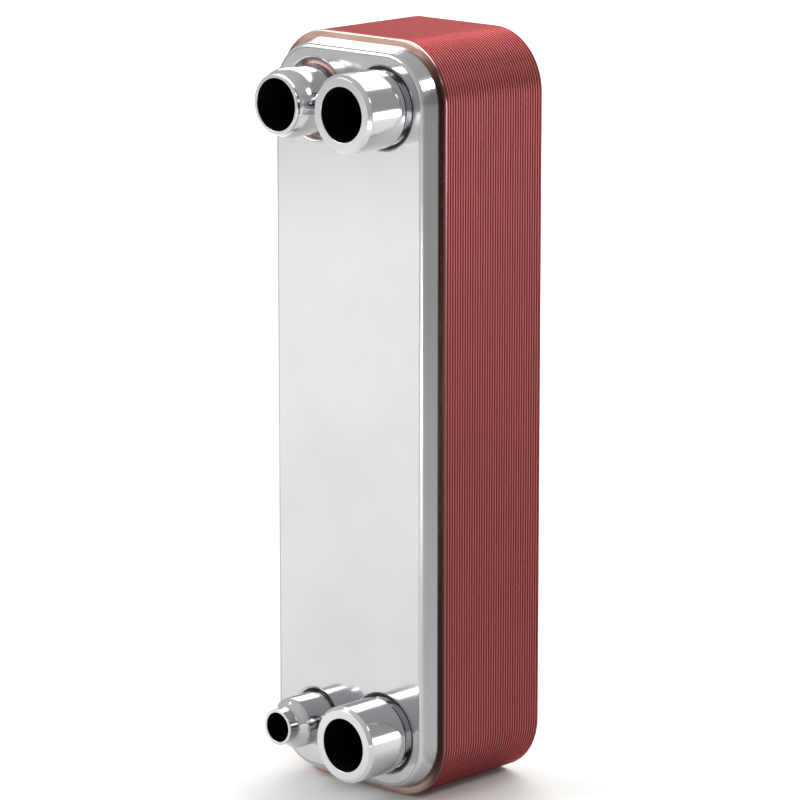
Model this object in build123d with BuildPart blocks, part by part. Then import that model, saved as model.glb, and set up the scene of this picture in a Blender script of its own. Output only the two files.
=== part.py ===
"""Brazed plate heat exchanger: nested pressed plates between two cover plates, and four tubes.

Millimetres, +Z up. The front cover with its tubes faces -Y, and the plates stack towards +Y.
The origin is the bottom centre of the overall box, so the exchanger stands on z = 0.
Every plate is a tray: a floor, an inclined flank, a flat flange and a rim bent backwards.
"""
import os
from math import asin, cos, degrees, radians, sin, tan

from build123d import *

os.makedirs("parts", exist_ok=True)

# --- overall outline, shared by every plate ---
height = 325.0
width = 95.0
corner_radius = 26.0

# --- plate pack ---
channel_plates = 38
plate_pitch = 1.54  # from one plate to the next
sheet = 0.35  # thickness of the pressed plates
braze_gap = 0.05  # filler film between two brazed faces
contact_gap = 0.02  # filler at the ridge crests
rim_bend_radius = 0.6
tray_bend_radius = 1.35

# --- cover plates ---
cover_sheet = 2.0
cover_depth = 8.3  # from the flange of the first plate to the cover's face
cover_bend_radius = 2.0
flange_width = 2.9  # flange of the first plate that shows round the front cover

# --- pressed pattern ---
ridge_pitch = 9.5
ridge_width = 5.6
ridge_draft = 45.0  # slope of the ridge walls, from the pressing direction
ridge_rise = 30.0  # slope of the chevron arms, from horizontal
pattern_margin = 3.5  # flat floor left beside the ridges
collar_width = 4.5  # pressed land round a port

# --- ports ---
port_spacing_x = 39.0
port_spacing_z = 269.0
port_radius = 12.0

# --- large connections, on the right ---
tube_length = 24.0  # from the mouth to the cover's face, on all but the medium tube
stub_radius = 16.6
stub_bore_radius = 11.55
stub_bevel = 1.4
stub_shoulder_radius = 3.4
stub_shoulder_standoff = 0.4  # shoulder to the cover's face
stub_hole_radius = 17.0

# --- medium socket, top left ---
medium_length = 22.7  # from the mouth to the cover's face
medium_socket_radius = 11.15
medium_socket_depth = 20.0
medium_socket_wall = 1.6
medium_socket_straight = 1.5
medium_flare_end = 8.7
medium_body_radius = 15.0
medium_body_step = 0.4
medium_step_length = 1.3
medium_bore_radius = 10.0
medium_hole_radius = 17.0

# --- small socket, bottom left ---
small_socket_radius = 6.45
small_socket_depth = 13.0
small_socket_wall = 1.35
small_socket_straight = 4.4
small_shoulder_end = 9.4
small_body_radius = 11.0
small_bore_radius = 5.5
small_hole_radius = 11.9
small_foot_radius = 0.8

# --- holes and braze in the front cover ---
hole_lip_radius = 1.2
braze_side_gap = 0.05
braze_height = 1.1
braze_land = 0.35

# --- sizes that follow ---
flank_angle = degrees(asin((sheet + braze_gap) / plate_pitch))  # flanks nest one braze gap apart
flank_slope = tan(radians(flank_angle))
flank_cosine = cos(radians(flank_angle))
press_depth = plate_pitch - sheet - contact_gap
tray_depth = cover_depth - cover_sheet - braze_gap
tray_inset = flange_width + (cover_sheet + braze_gap) / flank_cosine
stack_depth = plate_pitch * (channel_plates + 1)
overall_depth = tube_length + cover_depth + stack_depth

centre_z = height / 2
mouth_y = -overall_depth / 2
face_y = mouth_y + tube_length
flange_y = face_y + cover_depth  # front of the first plate's flange
floor_y = flange_y - tray_depth  # front of the first plate's floor
back_y = flange_y + stack_depth
tube_base = tube_length + cover_sheet  # length of a tube, down to the first plate
medium_base = medium_length + cover_sheet
medium_mouth_y = face_y - medium_length

left_x = -port_spacing_x / 2
right_x = port_spacing_x / 2
bottom_z = centre_z - port_spacing_z / 2
top_z = centre_z + port_spacing_z / 2
pattern_half_width = width / 2 - tray_inset - tray_depth * flank_slope - pattern_margin
pattern_half_height = port_spacing_z / 2 - port_radius - collar_width - pattern_margin


def front_plane(y):
    """Plane at depth y that looks towards -Y, with its origin on the plates' centre."""
    return Plane(origin=(0, y, centre_z), x_dir=(1, 0, 0), z_dir=(0, -1, 0))


def wall_inset(thickness, angle):
    """How far a pressed wall's far side lies inside its near side, one thickness lower."""
    return thickness * (1 - sin(radians(angle))) / cos(radians(angle))


def port_places(columns):
    """Port centres on a front plane, for the given columns of ports."""
    return [(x, row * port_spacing_z / 2) for x in columns for row in (-1, 1)]


def outline(inset):
    """Rounded outline of every plate, moved inwards by inset."""
    return RectangleRounded(width - 2 * inset, height - 2 * inset, corner_radius - inset)


def chevron(z):
    """One ridge: two arms that rise from the sides and meet on the centre line."""
    rise = pattern_half_width * tan(radians(ridge_rise))
    band = ridge_width / cos(radians(ridge_rise))
    return Polygon(
        (-pattern_half_width, z),
        (-pattern_half_width, z - band),
        (0, z - band + rise),
        (pattern_half_width, z - band),
        (pattern_half_width, z),
        (0, z + rise),
        align=None,
    )


def chevron_heights():
    """Heights of the ridges, evenly spread between the upper and the lower ports."""
    rise = pattern_half_width * tan(radians(ridge_rise))
    band = ridge_width / cos(radians(ridge_rise))
    room = 2 * pattern_half_height - rise - band
    count = int(room / ridge_pitch) + 1
    lowest = -(count - 1) * ridge_pitch / 2 - (rise - band) / 2
    return [lowest + number * ridge_pitch for number in range(count)]


def pressing(under, patterned):
    """Solid that lies under a plate's front surface (under = 0) or its back (under = sheet)."""
    with BuildPart() as form:
        with BuildSketch(front_plane(flange_y + under)):
            outline(under)
        extrude(amount=under - plate_pitch)
        fillet(form.edges().group_by(Axis.Y)[0], rim_bend_radius - under)
        with BuildSketch(front_plane(flange_y + under)):
            outline(tray_inset + wall_inset(under, flank_angle))
        extrude(amount=tray_depth, taper=flank_angle)
        fillet(form.faces().sort_by(Axis.Y)[0].edges(), tray_bend_radius - under)
        if patterned:
            side = wall_inset(under, ridge_draft)
            with BuildSketch(front_plane(floor_y + under)):
                for z in chevron_heights():
                    chevron(z)
                if side > 0:
                    offset(amount=-side, kind=Kind.INTERSECTION, mode=Mode.REPLACE)
            extrude(amount=press_depth, taper=ridge_draft)
            with BuildSketch(front_plane(floor_y + under)):
                with Locations(*port_places([left_x])):
                    Circle(port_radius + collar_width - side)
            extrude(amount=press_depth, taper=ridge_draft)
    return form.part


def pressed_plate(patterned):
    """A plate of even thickness, with its four ports punched."""
    with BuildPart() as plate:
        add(pressing(0, patterned))
        add(pressing(sheet, patterned), mode=Mode.SUBTRACT)
        with BuildSketch(front_plane(flange_y)):
            with Locations(*port_places([left_x, right_x])):
                Circle(port_radius)
        extrude(amount=2 * tray_depth, mode=Mode.SUBTRACT)
    return plate.part


def finish(part, name):
    """Name a finished piece and write it."""
    part.label = name
    export_step(part, f"parts/{name}.step")


# --- front sealing plate: flat floor, and the flange that shows round the front cover ---
with BuildPart() as front_sealing_plate:
    add(pressed_plate(patterned=False))
finish(front_sealing_plate.part, "front_sealing_plate")

# --- channel plates: every second one is turned half a turn, so the ridges cross ---
upright_plate = pressed_plate(patterned=True)
turned_plate = upright_plate.rotate(Axis((0, 0, centre_z), (0, 1, 0)), 180)
for number in range(1, channel_plates + 1):
    pressed = upright_plate if number % 2 else turned_plate
    with BuildPart() as channel_plate:
        add(pressed.moved(Location((0, number * plate_pitch, 0))))
    finish(channel_plate.part, f"channel_plate_{number:02d}")

# --- front cover plate: a deep tray with a hole round each tube ---
cover_foot_y = flange_y - braze_gap
with BuildPart() as front_cover_plate:
    with BuildSketch(front_plane(cover_foot_y)):
        outline(flange_width)
    extrude(amount=cover_depth - braze_gap, taper=flank_angle)
    fillet(front_cover_plate.faces().sort_by(Axis.Y)[0].edges(), cover_bend_radius)
    with BuildSketch(front_plane(cover_foot_y)):
        outline(flange_width + cover_sheet / flank_cosine)
    extrude(amount=cover_depth - cover_sheet - braze_gap, taper=flank_angle, mode=Mode.SUBTRACT)
    with BuildSketch(front_plane(face_y)):
        with Locations(*port_places([right_x])):
            Circle(stub_hole_radius)
        with Locations((left_x, port_spacing_z / 2)):
            Circle(medium_hole_radius)
        with Locations((left_x, -port_spacing_z / 2)):
            Circle(small_hole_radius)
    extrude(amount=-2 * cover_sheet, mode=Mode.SUBTRACT)
    hole_edges = front_cover_plate.faces().sort_by(Axis.Y)[0].inner_wires().edges()
    fillet(hole_edges, hole_lip_radius)
finish(front_cover_plate.part, "front_cover_plate")

# --- rear cover plate: nests in the last channel plate and closes the pack ---
rear_fit = sheet + braze_gap
rear_lip = plate_pitch - rear_fit  # the skirt goes on to the last rim's edge
rear_inset = tray_inset + wall_inset(rear_fit, flank_angle) - rear_lip * flank_slope
with BuildPart() as rear_cover_plate:
    with BuildSketch(front_plane(back_y)):
        outline(rear_inset)
    extrude(amount=tray_depth + rear_lip, taper=flank_angle)
    fillet(rear_cover_plate.faces().sort_by(Axis.Y)[0].edges(), tray_bend_radius - rear_fit)
    with BuildSketch(front_plane(back_y)):
        outline(rear_inset + cover_sheet / flank_cosine)
    extrude(amount=tray_depth + rear_lip - cover_sheet, taper=flank_angle, mode=Mode.SUBTRACT)
finish(rear_cover_plate.part, "rear_cover_plate")


# --- large connection stubs: plain ends with a bevel, a round shoulder and a neck ---
stub_neck_radius = stub_radius - stub_shoulder_radius
stub_shoulder_end = tube_length - stub_shoulder_standoff
for name, z in (("top_right_connection", top_z), ("bottom_right_connection", bottom_z)):
    with BuildPart() as stub:
        with BuildSketch(Plane(origin=(right_x, mouth_y, z))):
            with BuildLine():
                Polyline(
                    (stub_neck_radius, stub_shoulder_end),
                    (stub_neck_radius, tube_base),
                    (stub_bore_radius, tube_base),
                    (stub_bore_radius, 0),
                    (stub_radius - stub_bevel, 0),
                    (stub_radius, stub_bevel),
                    (stub_radius, stub_shoulder_end - stub_shoulder_radius),
                )
                RadiusArc(
                    (stub_radius, stub_shoulder_end - stub_shoulder_radius),
                    (stub_neck_radius, stub_shoulder_end),
                    -stub_shoulder_radius,
                )
            make_face()
        revolve(axis=Axis((right_x, mouth_y, z), (0, 1, 0)))
    finish(stub.part, name)

# --- medium socket: a thin solder socket that flares into a thicker body ---
medium_mouth_radius = medium_socket_radius + medium_socket_wall
medium_foot_radius = medium_body_radius - medium_body_step
medium_step_end = medium_flare_end + medium_step_length
with BuildPart() as top_left_connection:
    with BuildSketch(Plane(origin=(left_x, medium_mouth_y, top_z))):
        with BuildLine():
            TangentArc(
                (medium_body_radius, medium_flare_end),
                (medium_mouth_radius, medium_socket_straight),
                tangent=(0, -1),
            )
            Polyline(
                (medium_mouth_radius, medium_socket_straight),
                (medium_mouth_radius, 0),
                (medium_socket_radius, 0),
                (medium_socket_radius, medium_socket_depth),
                (medium_bore_radius, medium_socket_depth),
                (medium_bore_radius, medium_base),
                (medium_foot_radius, medium_base),
                (medium_foot_radius, medium_step_end + medium_body_step),
                (medium_body_radius, medium_step_end),
                (medium_body_radius, medium_flare_end),
            )
        make_face()
    revolve(axis=Axis((left_x, medium_mouth_y, top_z), (0, 1, 0)))
finish(top_left_connection.part, "top_left_connection")

# --- small socket: a narrow solder socket on a wider body, with a curved shoulder between ---
small_mouth_radius = small_socket_radius + small_socket_wall
small_shoulder_middle = (
    (small_mouth_radius + small_body_radius) / 2,
    (small_socket_straight + small_shoulder_end) / 2,
)
small_foot_start = tube_base - small_foot_radius
with BuildPart() as bottom_left_connection:
    with BuildSketch(Plane(origin=(left_x, mouth_y, bottom_z))):
        with BuildLine():
            Spline(
                (small_mouth_radius, small_socket_straight),
                small_shoulder_middle,
                (small_body_radius, small_shoulder_end),
                tangents=[(0, 1), (0, 1)],
            )
            Polyline(
                (small_body_radius, small_shoulder_end),
                (small_body_radius, small_foot_start),
                (small_body_radius - small_foot_radius, tube_base),
                (small_bore_radius, tube_base),
                (small_bore_radius, small_socket_depth),
                (small_socket_radius, small_socket_depth),
                (small_socket_radius, 0),
                (small_mouth_radius, 0),
                (small_mouth_radius, small_socket_straight),
            )
        make_face()
    revolve(axis=Axis((left_x, mouth_y, bottom_z), (0, 1, 0)))
finish(bottom_left_connection.part, "bottom_left_connection")

# --- braze rings: filler between each tube's foot and the hole round it ---
ring_base_y = floor_y - braze_gap
rings = (
    ("top_right_braze_ring", right_x, top_z, stub_neck_radius, stub_hole_radius),
    ("bottom_right_braze_ring", right_x, bottom_z, stub_neck_radius, stub_hole_radius),
    ("top_left_braze_ring", left_x, top_z, medium_foot_radius, medium_hole_radius),
    ("bottom_left_braze_ring", left_x, bottom_z, small_body_radius, small_hole_radius),
)
for name, x, z, tube_radius, hole_radius in rings:
    inner = tube_radius + braze_side_gap
    outer = hole_radius - braze_side_gap
    with BuildPart() as braze_ring:
        with BuildSketch(Plane(origin=(x, ring_base_y, z))):
            with BuildLine():
                Polyline(
                    (inner, -braze_height),
                    (inner, 0),
                    (outer, 0),
                    (outer, -braze_land),
                )
                Line((outer, -braze_land), (inner, -braze_height))
            make_face()
        revolve(axis=Axis((x, ring_base_y, z), (0, 1, 0)))
    finish(braze_ring.part, name)
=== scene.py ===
"""Brazed plate heat exchanger on a pale floor, seen at the photograph's angle. Metres, +Z up."""
from math import asin, ceil, cos, pi, radians, sin, sqrt, tan

import bpy
import numpy as np
from mathutils import Matrix, Vector
from mathutils.geometry import delaunay_2d_cdt


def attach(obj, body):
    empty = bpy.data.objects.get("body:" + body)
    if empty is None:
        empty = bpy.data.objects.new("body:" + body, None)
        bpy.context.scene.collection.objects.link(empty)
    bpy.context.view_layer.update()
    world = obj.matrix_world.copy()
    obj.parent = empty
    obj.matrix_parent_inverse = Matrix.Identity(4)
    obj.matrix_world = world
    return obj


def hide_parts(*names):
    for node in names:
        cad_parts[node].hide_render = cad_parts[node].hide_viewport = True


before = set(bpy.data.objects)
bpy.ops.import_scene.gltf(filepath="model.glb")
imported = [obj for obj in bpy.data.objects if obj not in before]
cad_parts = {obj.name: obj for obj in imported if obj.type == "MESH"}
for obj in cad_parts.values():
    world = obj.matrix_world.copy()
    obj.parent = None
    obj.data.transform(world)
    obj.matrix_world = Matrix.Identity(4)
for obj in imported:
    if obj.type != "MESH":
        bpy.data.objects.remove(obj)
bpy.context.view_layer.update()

MM = 0.001

# --- sizes of the CAD model, in millimetres ---
HEIGHT = 325.0
WIDTH = 95.0
CORNER_RADIUS = 26.0
CHANNEL_PLATES = 38
PLATE_PITCH = 1.54
SHEET = 0.35
BRAZE_GAP = 0.05
COVER_SHEET = 2.0
COVER_DEPTH = 8.3
COVER_BEND_RADIUS = 2.0
FLANGE_WIDTH = 2.9
PORT_SPACING_X = 39.0
PORT_SPACING_Z = 269.0
HOLE_LIP_RADIUS = 1.2
EDGE_BREAK = 0.1  # rounding of edges that are turned sharp

STUB_RADIUS = 16.6
STUB_BORE = 11.55
STUB_BEVEL = 1.4
STUB_SHOULDER = 23.6  # from the mouth to the end of the full outside
STUB_SHOULDER_RADIUS = 3.35
STUB_NECK = 13.2
STUB_HOLE = 17.0
TUBE_LENGTH = 24.0  # from the mouth to the cover's face

MEDIUM_LENGTH = 22.7
MEDIUM_SOCKET = 11.15
MEDIUM_SOCKET_DEPTH = 20.0
MEDIUM_BORE = 10.0
MEDIUM_MOUTH = 12.75
MEDIUM_FLARE_START = 1.5
MEDIUM_FLARE_END = 8.7
MEDIUM_RADIUS = 15.0
MEDIUM_NECK = 14.6
MEDIUM_NECK_START = 10.0
MEDIUM_HOLE = STUB_HOLE

NARROW_SOCKET = 6.45
NARROW_SOCKET_DEPTH = 13.0
NARROW_BORE = 5.5
NARROW_MOUTH = 7.8
NARROW_SHOULDER_START = 4.4
NARROW_SHOULDER_END = 9.4
NARROW_RADIUS = 11.0
NARROW_HOLE = 11.9

FLANK_ANGLE = asin((SHEET + BRAZE_GAP) / PLATE_PITCH)
STACK_DEPTH = PLATE_PITCH * (CHANNEL_PLATES + 1)
CENTRE_Z = HEIGHT / 2
MOUTH_Y = -(TUBE_LENGTH + COVER_DEPTH + STACK_DEPTH) / 2
FACE_Y = MOUTH_Y + TUBE_LENGTH
FLANGE_Y = FACE_Y + COVER_DEPTH
TUBE_BASE = TUBE_LENGTH + COVER_SHEET
LEFT_X = -PORT_SPACING_X / 2
RIGHT_X = PORT_SPACING_X / 2
BOTTOM_Z = CENTRE_Z - PORT_SPACING_Z / 2
TOP_Z = CENTRE_Z + PORT_SPACING_Z / 2


# --- surfaces ---
def unit(v):
    return v / np.linalg.norm(v)


def right_of(v):
    return np.array([v[1], -v[0]])


def profile(corners, closed=True, turn=radians(9)):
    """Points and normals along a path of (a, b, radius) corners, the outside on the right of travel.

    A corner of radius r turns on an arc: point = centre + r * (cos t, sin t), one point each turn.
    Radius 0 is a sharp corner, and None is a point on a curve, which takes the mean normal.
    Returns the points, and each point's normal on the way in and on the way out.
    """
    spots = np.array([c[:2] for c in corners], dtype=float)
    count = len(spots)
    points, arriving, leaving = [], [], []
    for k in range(count):
        before = unit(spots[k] - spots[k - 1])
        after = unit(spots[(k + 1) % count] - spots[k])
        if not closed and k == 0:
            before = after
        if not closed and k == count - 1:
            after = before
        right_in = right_of(before)
        right_out = right_of(after)
        radius = corners[k][2]
        if radius is None:
            points.append(spots[k])
            arriving.append(unit(right_in + right_out))
            leaving.append(arriving[-1])
        elif radius == 0:
            points.append(spots[k])
            arriving.append(right_in)
            leaving.append(right_out)
        else:
            angle = np.arctan2(before[0] * after[1] - before[1] * after[0], before @ after)
            reach = radius * tan(abs(angle) / 2)
            side = np.sign(angle)
            centre = spots[k] - before * reach - side * right_in * radius
            steps = max(2, ceil(abs(angle) / turn))
            for step in range(steps + 1):
                t = angle * step / steps
                normal = np.array([
                    right_in[0] * cos(t) - right_in[1] * sin(t),
                    right_in[0] * sin(t) + right_in[1] * cos(t),
                ])
                points.append(centre + side * normal * radius)
                arriving.append(normal)
                leaving.append(normal)
    return np.array(points), np.array(arriving), np.array(leaving)


def revolved(path, x, z, mouth=MOUTH_Y, around=96):
    """Rings of (radius, depth) points turned about a tube's axis.

    Each point is (x + r cos t, mouth + depth, z + r sin t), and normals turn the same way.
    """
    t = np.arange(around) * 2 * pi / around
    rings = []
    for kind, values in enumerate(path):
        radial = values[:, 0, None]
        place = np.empty((len(values), around, 3))
        place[..., 0] = radial * np.cos(t) + (x if kind == 0 else 0)
        place[..., 1] = values[:, 1, None] + (mouth if kind == 0 else 0)
        place[..., 2] = radial * np.sin(t) + (z if kind == 0 else 0)
        rings.append(place)
    return rings


def outlined(path, per_corner=14):
    """Rings of (inset, depth) points swept round the plate's outline.

    Each corner is centre + (R - inset) * (cos t, sin t), so every inset shares the corner centres.
    """
    t, cx, cz = [], [], []
    for quarter, (sx, sz) in enumerate(((1, 1), (-1, 1), (-1, -1), (1, -1))):
        for step in range(per_corner + 1):
            t.append((quarter + step / per_corner) * pi / 2)
            cx.append(sx * (WIDTH / 2 - CORNER_RADIUS))
            cz.append(sz * (HEIGHT / 2 - CORNER_RADIUS))
    t = np.array(t)
    cx = np.array(cx)
    cz = np.array(cz) + CENTRE_Z
    rings = []
    for kind, values in enumerate(path):
        inset = values[:, 0, None]
        radial = CORNER_RADIUS - inset if kind == 0 else -inset
        place = np.empty((len(values), len(t), 3))
        place[..., 0] = radial * np.cos(t) + (cx if kind == 0 else 0)
        place[..., 1] = values[:, 1, None]
        place[..., 2] = radial * np.sin(t) + (cz if kind == 0 else 0)
        rings.append(place)
    return rings


def flare(start, end, steps=10):
    """Arc from start to end, level at its end: r = r1 - R (1 - cos t), s = s1 - R sin t."""
    rise = end[0] - start[0]
    length = end[1] - start[1]
    radius = (rise ** 2 + length ** 2) / (2 * rise)
    reach = asin(length / radius)
    turns = [reach * (1 - k / steps) for k in range(1, steps)]
    return [(end[0] - radius * (1 - cos(t)), end[1] - radius * sin(t), None) for t in turns]


def shoulder(start, end, steps=10):
    """Smooth step from start to end, level at both: r = r0 + rise * (3 t^2 - 2 t^3)."""
    made = []
    for k in range(1, steps):
        t = k / steps
        radius = start[0] + (end[0] - start[0]) * (3 * t ** 2 - 2 * t ** 3)
        depth = start[1] + (end[1] - start[1]) * t
        made.append((radius, depth, None))
    return made


class Surface:
    """Collects vertices, faces and one normal for each face corner, then makes one object."""

    def __init__(self):
        self.points = []
        self.faces = []
        self.normals = []

    def add_points(self, points):
        start = len(self.points)
        self.points.extend(points.reshape(-1, 3).tolist())
        return start

    def add_face(self, corners, normals):
        a, b, c = (np.array(self.points[k]) for k in corners[:3])
        if np.cross(b - a, c - b) @ np.mean(normals, axis=0) < 0:
            corners = corners[::-1]
            normals = normals[::-1]
        self.faces.append(list(corners))
        self.normals.extend(normals)

    def loft(self, rings, closed=True):
        """Quads between neighbouring rings; returns the indices of each ring's points."""
        place, arriving, leaving = rings
        count, around = place.shape[:2]
        start = self.add_points(place)
        index = start + np.arange(count * around).reshape(count, around)
        for k in range(count if closed else count - 1):
            n = (k + 1) % count
            for j in range(around):
                i = (j + 1) % around
                self.add_face(
                    [index[k, j], index[k, i], index[n, i], index[n, j]],
                    [leaving[k, j], leaving[k, i], arriving[n, i], arriving[n, j]],
                )
        return index

    def fill(self, outer, holes, normal):
        """Flat triangles between an outer ring and the rings of its holes, all at one depth."""
        loops = [list(outer)] + [list(h) for h in holes]
        order = [k for loop in loops for k in loop]
        flat = [Vector((self.points[k][0], self.points[k][2])) for k in order]
        edges, at = [], 0
        for loop in loops:
            edges += [(at + k, at + (k + 1) % len(loop)) for k in range(len(loop))]
            at += len(loop)
        _, _, triangles, origins, _, _ = delaunay_2d_cdt(flat, edges, [], 1, 1e-7)
        rings = [np.array([[self.points[k][0], self.points[k][2]] for k in h]) for h in holes]
        middles = [(r.mean(axis=0), np.linalg.norm(r[0] - r.mean(axis=0))) for r in rings]
        for triangle in triangles:
            corners = [order[origins[k][0]] for k in triangle]
            spot = np.mean([[self.points[k][0], self.points[k][2]] for k in corners], axis=0)
            if any(np.linalg.norm(spot - m) < r for m, r in middles):
                continue
            self.add_face(corners, [normal] * len(corners))

    def finish(self, name, *nodes):
        mesh = bpy.data.meshes.new(name)
        points = (np.array(self.points) * MM).tolist()
        mesh.from_pydata(points, [], self.faces)
        mesh.validate()
        mesh.polygons.foreach_set("use_smooth", np.ones(len(mesh.polygons), dtype=bool))
        mesh.normals_split_custom_set([tuple(n) for n in self.normals])
        piece = bpy.data.objects.new(name, mesh)
        bpy.context.scene.collection.objects.link(piece)
        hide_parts(*nodes)
        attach(piece, "root")
        return piece


# --- materials ---
def linear(red, green, blue):
    """sRGB 0-255 to linear."""
    shares = [c / 255 for c in (red, green, blue)]
    return tuple(c / 12.92 if c <= 0.04045 else ((c + 0.055) / 1.055) ** 2.4 for c in shares) + (1.0,)


def node(tree, kind, settings=None, **inputs):
    """Adds a node with its settings, and links or sets its inputs, by name or as _number."""
    made = tree.nodes.new(kind)
    for key, value in (settings or {}).items():
        setattr(made, key, value)
    for key, value in inputs.items():
        numbered = key[0] == "_" and key[1:].isdigit()
        socket = made.inputs[int(key[1:]) if numbered else key.replace("_", " ")]
        if isinstance(value, bpy.types.NodeSocket):
            tree.links.new(value, socket)
        else:
            socket.default_value = value
    return made


def empty(name):
    """A material without nodes yet."""
    made = bpy.data.materials.new(name)
    made.use_nodes = True
    made.node_tree.nodes.clear()
    return made


def coordinate(tree, axis):
    """The object coordinate along one axis, in metres."""
    where = node(tree, "ShaderNodeTexCoord").outputs["Object"]
    return node(tree, "ShaderNodeSeparateXYZ", _0=where).outputs[axis]


def grain(tree, scale, across=(1.0, 1.0, 1.0)):
    """Noise over object coordinates in millimetres, stretched by the across factors."""
    where = node(tree, "ShaderNodeTexCoord").outputs["Object"]
    scales = tuple(a / MM for a in across)
    stretched = node(tree, "ShaderNodeMapping", Vector=where, Scale=scales).outputs[0]
    noise = node(tree, "ShaderNodeTexNoise", Vector=stretched, Scale=scale, Detail=3.0, Roughness=0.5)
    return noise.outputs[0]


def spread(tree, value, low, high):
    """Maps 0.3..0.7 of a noise to low..high."""
    made = node(tree, "ShaderNodeMapRange", Value=value,
                From_Min=0.3, From_Max=0.7, To_Min=low, To_Max=high)
    return made.outputs[0]


def ease(tree, value, low, high):
    """0 below low, 1 above high, with a soft step between."""
    made = node(tree, "ShaderNodeMapRange", {"interpolation_type": "SMOOTHSTEP"}, Value=value,
                From_Min=low, From_Max=high)
    return made.outputs[0]


def sides(tree, low, high):
    """0 in the middle and 1 along the long sides, stepping between two distances from the middle."""
    across = node(tree, "ShaderNodeMath", {"operation": "ABSOLUTE"}, _0=coordinate(tree, "X")).outputs[0]
    return ease(tree, across, low, high)


def mix(tree, factor, first, second):
    """Blends two colours, which may be sockets."""
    made = node(tree, "ShaderNodeMix", {"data_type": "RGBA"}, Factor=factor, _6=first, _7=second)
    return made.outputs[2]


def metal(name, dark, light, rough, lines, line_scale, bump, patch=0.02, tint=None):
    """A metal: colour drifts in soft patches, roughness and bump follow stretched grain."""
    made = empty(name)
    tree = made.node_tree
    drift = grain(tree, patch)
    fine = grain(tree, line_scale, across=lines)
    colour = mix(tree, spread(tree, drift, 0.0, 1.0), linear(*dark), linear(*light))
    if tint:
        colour = tint(tree, colour)
    gloss = node(tree, "ShaderNodeMath", {"operation": "ADD"}, _0=spread(tree, fine, *rough),
                 _1=spread(tree, drift, -0.02, 0.03))
    bumped = node(tree, "ShaderNodeBump", Height=fine, Strength=bump, Distance=0.05 * MM)
    shader = node(tree, "ShaderNodeBsdfPrincipled", Base_Color=colour, Metallic=1.0,
                  Roughness=gloss.outputs[0], Normal=bumped.outputs[0])
    node(tree, "ShaderNodeOutputMaterial", Surface=shader.outputs[0])
    return made


def painted_flank_shade(tree, bright):
    """Painted shade: the long flanks are painted darker than the rolled face."""
    flank = sides(tree, 41.9 * MM, 43.0 * MM)
    flank_shade_factor = node(tree, "ShaderNodeMapRange", Value=flank, To_Min=1.0, To_Max=0.63).outputs[0]
    return node(tree, "ShaderNodeHueSaturation", Color=bright, Value=flank_shade_factor).outputs[0]


def painted_side_shade(tree, pale):
    """The copper flash stays pale along the ends; along the long sides it is painted brown as shade,
    darkest in front by the cover's foot.
    """
    recess_shade_fade = ease(tree, coordinate(tree, "Y"), (FLANGE_Y + 0.2) * MM, (FLANGE_Y + 0.7) * MM)
    side_shade_brown = mix(tree, recess_shade_fade, linear(84, 54, 50), linear(128, 86, 88))
    return mix(tree, sides(tree, 30.0 * MM, 44.5 * MM), pale, side_shade_brown)


def ribbed(name, rough):
    """Copper-washed rims: each pitch runs from painted shade in the groove over a dull land to a painted
    highlight on the edge.
    """
    made = empty(name)
    tree = made.node_tree
    plates = node(tree, "ShaderNodeMath", {"operation": "MULTIPLY_ADD"}, _0=coordinate(tree, "Y"),
                  _1=1 / (PLATE_PITCH * MM), _2=-FLANGE_Y / PLATE_PITCH).outputs[0]
    phase = node(tree, "ShaderNodeMath", {"operation": "FRACT"}, _0=plates).outputs[0]
    ramp = node(tree, "ShaderNodeValToRGB", _0=phase)
    # the darkest stops are painted shade between the plates; the lightest stops are a painted highlight
    # on each edge
    groove_shade = (42, 13, 16)
    stops = (
        (0.0, groove_shade),
        (0.20, (70, 25, 28)),
        (0.42, (118, 49, 51)),
        (0.70, (134, 60, 61)),
        (0.86, (184, 110, 108)),
        (0.95, (196, 126, 122)),
        (1.0, groove_shade),
    )
    while len(ramp.color_ramp.elements) < len(stops):
        ramp.color_ramp.elements.new(0.5)
    for element, (position, shade) in zip(ramp.color_ramp.elements, stops):
        element.position = position
        element.color = linear(*shade)
    drift = grain(tree, 0.03, across=(1, 1, 0.35))
    worn = node(tree, "ShaderNodeHueSaturation", Color=ramp.outputs[0],
                Value=spread(tree, drift, 0.93, 1.06))
    fine = grain(tree, 1.5, across=(1, 1, 0.05))
    bumped = node(tree, "ShaderNodeBump", Height=fine, Strength=0.06, Distance=0.05 * MM)
    shader = node(tree, "ShaderNodeBsdfPrincipled", Base_Color=worn.outputs[0], Metallic=0.7,
                  Roughness=spread(tree, fine, *rough), Specular_IOR_Level=0.25,
                  Specular_Tint=linear(226, 138, 139), Normal=bumped.outputs[0])
    node(tree, "ShaderNodeOutputMaterial", Surface=shader.outputs[0])
    return made


# bright rolled stainless sheet, with grain along the rolling direction, and painted shade on its long
# flanks
cover_steel = metal(
    "stainless_steel_bright_rolled", dark=(194, 195, 197), light=(203, 204, 206),
    rough=(0.10, 0.15), lines=(1, 1, 0.04), line_scale=3.0, bump=0.04, tint=painted_flank_shade,
)
# stainless bar, fine turned, with grain round the axis
tube_steel = metal(
    "stainless_steel_fine_turned", dark=(196, 197, 199), light=(212, 213, 215),
    rough=(0.09, 0.14), lines=(0.15, 1, 0.15), line_scale=5.0, bump=0.06,
)
# the same steel inside the bores, painted near black as the shade inside them
bore_shade_steel = metal(
    "stainless_steel_painted_bore_shade", dark=(26, 25, 25), light=(40, 38, 37),
    rough=(0.5, 0.7), lines=(1, 1, 1), line_scale=1.0, bump=0.1,
)
# pressed stainless plates whose rims took a copper wash from the braze foil, with painted groove shade
# and painted edge highlights
plate_steel = ribbed("stainless_steel_copper_washed", rough=(0.34, 0.46))
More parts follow.
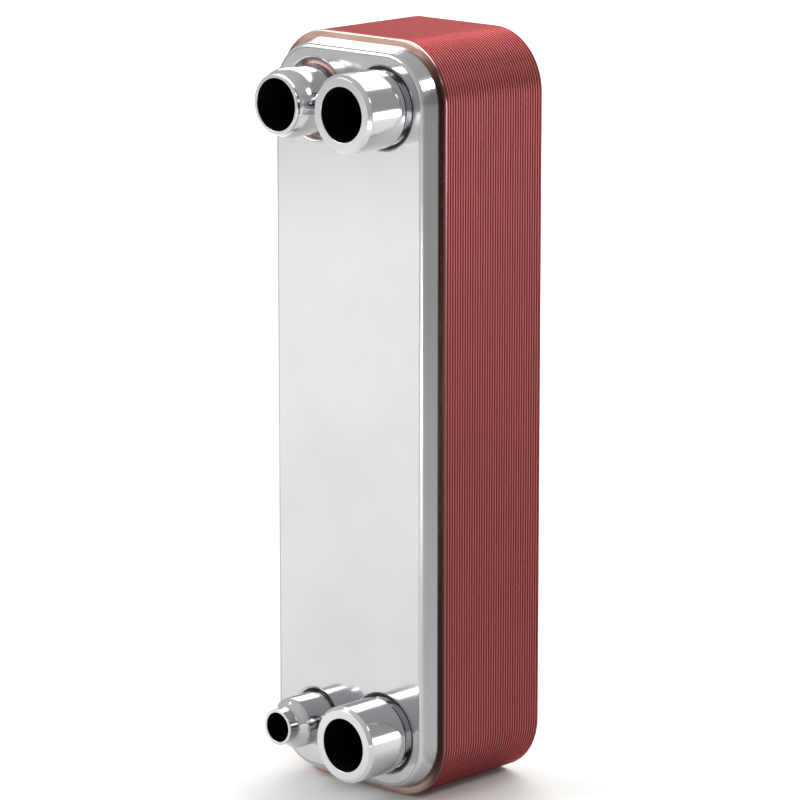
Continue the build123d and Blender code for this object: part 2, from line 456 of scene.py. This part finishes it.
# the first plate's flange, with a thin bright flash of copper and painted brown shade along the long
# sides
band_copper = metal(
    "stainless_steel_copper_flashed", dark=(205, 168, 154), light=(222, 190, 176),
    rough=(0.16, 0.24), lines=(1, 1, 0.05), line_scale=2.0, bump=0.05, patch=0.05, tint=painted_side_shade,
)
# copper braze that ran bright in places
braze = metal(
    "brazing_copper", dark=(52, 40, 38), light=(178, 148, 141),
    rough=(0.30, 0.45), lines=(1, 1, 1), line_scale=0.6, bump=0.25, patch=0.16,
)
# copper braze painted dark grey as the shade in the gap round the tube's foot
shaded_braze = metal(
    "brazing_copper_painted_shade", dark=(44, 42, 41), light=(74, 69, 67),
    rough=(0.35, 0.5), lines=(1, 1, 1), line_scale=0.6, bump=0.2, patch=0.1,
)


def paint(piece, *materials):
    piece.data.materials.clear()
    for material in materials:
        piece.data.materials.append(material)


def off_axis(face, x, z):
    """Distance of a face's centre from a tube's axis, in millimetres."""
    return sqrt((face.center.x / MM - x) ** 2 + (face.center.z / MM - z) ** 2)


# --- front cover ---
COVER_INSET = 24.0  # where the swept edge meets the flat face
CUT_EDGE = 0.15
INNER_BEND = 0.3


def cover():
    """The tray's edge swept round the outline, lips turned round four holes, flat between them."""
    foot = FLANGE_Y - BRAZE_GAP
    run = (COVER_DEPTH - BRAZE_GAP) * tan(FLANK_ANGLE)
    wall = COVER_SHEET / cos(FLANK_ANGLE)
    inner_depth = COVER_DEPTH - COVER_SHEET - BRAZE_GAP
    edge = profile(
        [
            (COVER_INSET, FACE_Y, 0),
            (FLANGE_WIDTH + run, FACE_Y, COVER_BEND_RADIUS),
            (FLANGE_WIDTH, foot, CUT_EDGE),
            (FLANGE_WIDTH + wall, foot, CUT_EDGE),
            (FLANGE_WIDTH + wall + inner_depth * tan(FLANK_ANGLE), foot - inner_depth, INNER_BEND),
            (COVER_INSET, FACE_Y + COVER_SHEET, 0),
        ],
        closed=False,
    )
    made = Surface()
    index = made.loft(outlined([v[1:-1] for v in edge]), closed=False)
    front, back = [], []
    for x, z, radius in (
        (RIGHT_X, TOP_Z, STUB_HOLE),
        (RIGHT_X, BOTTOM_Z, STUB_HOLE),
        (LEFT_X, TOP_Z, MEDIUM_HOLE),
        (LEFT_X, BOTTOM_Z, NARROW_HOLE),
    ):
        lip = profile(
            [
                (radius + 2 * HOLE_LIP_RADIUS, TUBE_LENGTH, 0),
                (radius, TUBE_LENGTH, HOLE_LIP_RADIUS),
                (radius, TUBE_LENGTH + COVER_SHEET, 0),
            ],
            closed=False,
        )
        rings = made.loft(revolved([v[1:] for v in lip], x, z), closed=False)
        front.append(rings[0])
        back.append(rings[-1])
    made.fill(index[0], front, np.array([0.0, -1.0, 0.0]))
    made.fill(index[-1], back, np.array([0.0, 1.0, 0.0]))
    return made.finish("front_cover", "front_cover_plate")


front_cover = cover()
paint(front_cover, cover_steel)


# --- tubes ---
BORE_SHADE_START = 0.4  # the painted bore shade starts this far inside the mouth
BORE_SLACK = 0.02


def tube(name, node_name, corners, x, z, bore, length=TUBE_LENGTH):
    """A turned tube; what lies inside the bore radius is painted near black as the shade inside the
    bore.
    """
    made = Surface()
    mouth = FACE_Y - length
    made.loft(revolved(profile(corners), x, z, mouth))
    piece = made.finish(name, node_name)
    paint(piece, tube_steel, bore_shade_steel)
    for face in piece.data.polygons:
        if off_axis(face, x, z) < bore + BORE_SLACK and face.center.y > (mouth + BORE_SHADE_START) * MM:
            face.material_index = 1
    return piece


for level, z in (("top", TOP_Z), ("bottom", BOTTOM_Z)):
    tube(f"{level}_right_tube", f"{level}_right_connection", [
        (STUB_NECK, STUB_SHOULDER, 0.12),
        (STUB_RADIUS, STUB_SHOULDER, STUB_SHOULDER_RADIUS),
        (STUB_RADIUS, STUB_BEVEL, 0.5),
        (STUB_RADIUS - STUB_BEVEL, 0.0, 0.3),
        (STUB_BORE, 0.0, 0.25),
        (STUB_BORE, TUBE_BASE, EDGE_BREAK),
        (STUB_NECK, TUBE_BASE, EDGE_BREAK),
    ], RIGHT_X, z, STUB_BORE)

MEDIUM_BASE = MEDIUM_LENGTH + COVER_SHEET
tube("top_left_tube", "top_left_connection", [
    (MEDIUM_BORE, MEDIUM_BASE, EDGE_BREAK),
    (MEDIUM_BORE, MEDIUM_SOCKET_DEPTH, EDGE_BREAK),
    (MEDIUM_SOCKET, MEDIUM_SOCKET_DEPTH, EDGE_BREAK),
    (MEDIUM_SOCKET, 0.0, 0.2),
    (MEDIUM_MOUTH, 0.0, 0.35),
    (MEDIUM_MOUTH, MEDIUM_FLARE_START, 0),
    *flare((MEDIUM_MOUTH, MEDIUM_FLARE_START), (MEDIUM_RADIUS, MEDIUM_FLARE_END)),
    (MEDIUM_RADIUS, MEDIUM_FLARE_END, None),
    (MEDIUM_RADIUS, MEDIUM_NECK_START, EDGE_BREAK),
    (MEDIUM_NECK, MEDIUM_NECK_START + MEDIUM_RADIUS - MEDIUM_NECK, EDGE_BREAK),
    (MEDIUM_NECK, MEDIUM_BASE, EDGE_BREAK),
], LEFT_X, TOP_Z, MEDIUM_SOCKET, MEDIUM_LENGTH)

tube("bottom_left_tube", "bottom_left_connection", [
    (NARROW_BORE, TUBE_BASE, EDGE_BREAK),
    (NARROW_BORE, NARROW_SOCKET_DEPTH, EDGE_BREAK),
    (NARROW_SOCKET, NARROW_SOCKET_DEPTH, EDGE_BREAK),
    (NARROW_SOCKET, 0.0, 0.2),
    (NARROW_MOUTH, 0.0, 0.3),
    (NARROW_MOUTH, NARROW_SHOULDER_START, None),
    *shoulder((NARROW_MOUTH, NARROW_SHOULDER_START), (NARROW_RADIUS, NARROW_SHOULDER_END)),
    (NARROW_RADIUS, NARROW_SHOULDER_END, None),
    (NARROW_RADIUS, TUBE_BASE, 0.75),
], LEFT_X, BOTTOM_Z, NARROW_SOCKET)


# --- braze rings ---
BRAZE_HIGH = 1.1  # height of the fillet at the tube
BRAZE_LOW = 0.35  # height of the fillet at the cover's hole


def braze_ring(name, x, z, neck, hole, material):
    """A ring with a hollow fillet that falls from the tube's foot to the hole's wall."""
    inner = neck + BRAZE_GAP
    outer = hole - BRAZE_GAP
    thin = (inner + 2 * outer) / 3
    made = Surface()
    made.loft(revolved(profile([
        (outer, TUBE_BASE - BRAZE_LOW, 0),
        (thin, TUBE_BASE - 0.4, None),
        ((2 * inner + outer) / 3, TUBE_BASE - 0.62, None),
        (inner, TUBE_BASE - BRAZE_HIGH, EDGE_BREAK),
        (inner, TUBE_BASE, 0),
        (outer, TUBE_BASE, 0),
    ]), x, z))
    piece = made.finish(f"{name}_braze", f"{name}_braze_ring")
    paint(piece, material)
    return piece, thin


for level, z in (("top", TOP_Z), ("bottom", BOTTOM_Z)):
    # only the ring's outer part carries the painted shade; its inner part, by the stub, is given the
    # tube's steel
    ring, thin = braze_ring(f"{level}_right", RIGHT_X, z, STUB_NECK, STUB_HOLE, shaded_braze)
    paint(ring, shaded_braze, tube_steel)
    for face in ring.data.polygons:
        if off_axis(face, RIGHT_X, z) < thin:
            face.material_index = 1
braze_ring("top_left", LEFT_X, TOP_Z, MEDIUM_NECK, MEDIUM_HOLE, braze)
braze_ring("bottom_left", LEFT_X, BOTTOM_Z, NARROW_RADIUS, NARROW_HOLE, shaded_braze)

# --- plates ---
for name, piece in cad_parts.items():
    if name.startswith("channel_plate"):
        paint(piece, plate_steel)
    elif name == "front_sealing_plate":
        paint(piece, band_copper)
    elif name == "rear_cover_plate":
        paint(piece, cover_steel)

# --- floor ---
bpy.ops.mesh.primitive_plane_add(size=24.0, location=(0.0, 0.0, -0.2 * MM))
floor = bpy.context.object
floor.name = "floor"
pale = empty("pale_floor")
tree = pale.node_tree
tone = mix(tree, grain(tree, 0.004), linear(238, 238, 236), linear(244, 244, 242))
shade = node(tree, "ShaderNodeBsdfPrincipled", Base_Color=tone, Roughness=0.7)
node(tree, "ShaderNodeOutputMaterial", Surface=shade.outputs[0])
floor.data.materials.append(pale)

# --- light ---
# the standard view keeps the floor and the highlights as white as in the photograph
bpy.context.scene.view_settings.view_transform = "Standard"
world = bpy.data.worlds.new("studio")
world.use_nodes = True
bpy.context.scene.world = world
tree = world.node_tree
tree.nodes.clear()
way = node(tree, "ShaderNodeTexCoord").outputs["Generated"]
BRIGHTEST_WAY = (-0.60, -0.62, 0.50)
lean = node(tree, "ShaderNodeVectorMath", {"operation": "DOT_PRODUCT"}, _0=way, _1=BRIGHTEST_WAY)
glow = node(tree, "ShaderNodeMapRange", Value=lean.outputs["Value"],
            From_Min=-0.5, From_Max=0.8, To_Min=0.40, To_Max=0.74)
sky = node(tree, "ShaderNodeBackground", Strength=glow.outputs[0], Color=(1.0, 1.0, 1.0, 1.0))
node(tree, "ShaderNodeOutputWorld", Surface=sky.outputs[0])


def softbox(name, place, target, size, power, spread):
    """A square area light at a place, turned towards its target."""
    data = bpy.data.lights.new(name, "AREA")
    data.shape = "SQUARE"
    data.size = size
    data.energy = power
    data.spread = radians(spread)
    lamp = bpy.data.objects.new(name, data)
    bpy.context.scene.collection.objects.link(lamp)
    lamp.location = place
    away = Vector(place) - Vector(target)
    lamp.rotation_euler = away.to_track_quat("Z", "Y").to_euler()
    return lamp


# each lights the floor, or a reflection, on its side of the object
softbox("key", (-1.1, -1.2, 1.2), (-0.6, -0.7, 0.0), 1.0, 8.6, 120)
softbox("front_right", (0.55, -1.05, 0.8), (0.50, -0.85, 0.0), 0.4, 5.0, 60)
softbox("overhead_back", (-0.30, 1.45, 1.10), (0.0, 0.0, 0.2), 1.5, 14.0, 150)
softbox("back_left", (-1.7, 1.8, 1.7), (-1.5, 1.7, 0.0), 1.4, 26.0, 140)
softbox("low_right", (1.0, 1.05, 0.17), (0.0, 0.0, 0.17), 0.32, 0.7, 120)
softbox("right_patch", (0.88, 0.38, 0.92), (0.0, 0.0, 0.3), 0.26, 0.45, 60)

# --- camera ---
AZIMUTH = radians(43.31)
ELEVATION = radians(12.49)
FOCAL_LENGTH = 200.48
SENSOR_WIDTH = 36.0
CAMERA_PLACE = (1.27551, -1.34342, 0.57742)
CLIP_END = 60.0

right = Vector((cos(AZIMUTH), sin(AZIMUTH), 0.0))
up = Vector((-sin(AZIMUTH) * sin(ELEVATION), cos(AZIMUTH) * sin(ELEVATION), cos(ELEVATION)))
back = Vector((sin(AZIMUTH) * cos(ELEVATION), -cos(AZIMUTH) * cos(ELEVATION), sin(ELEVATION)))
lens = bpy.data.cameras.new("camera")
lens.lens = FOCAL_LENGTH
lens.sensor_width = SENSOR_WIDTH
lens.clip_end = CLIP_END
camera = bpy.data.objects.new("camera", lens)
bpy.context.scene.collection.objects.link(camera)
camera.matrix_world = Matrix.Translation(CAMERA_PLACE) @ Matrix((
    (right.x, up.x, back.x),
    (right.y, up.y, back.y),
    (right.z, up.z, back.z),
)).to_4x4()
bpy.context.scene.camera = camera
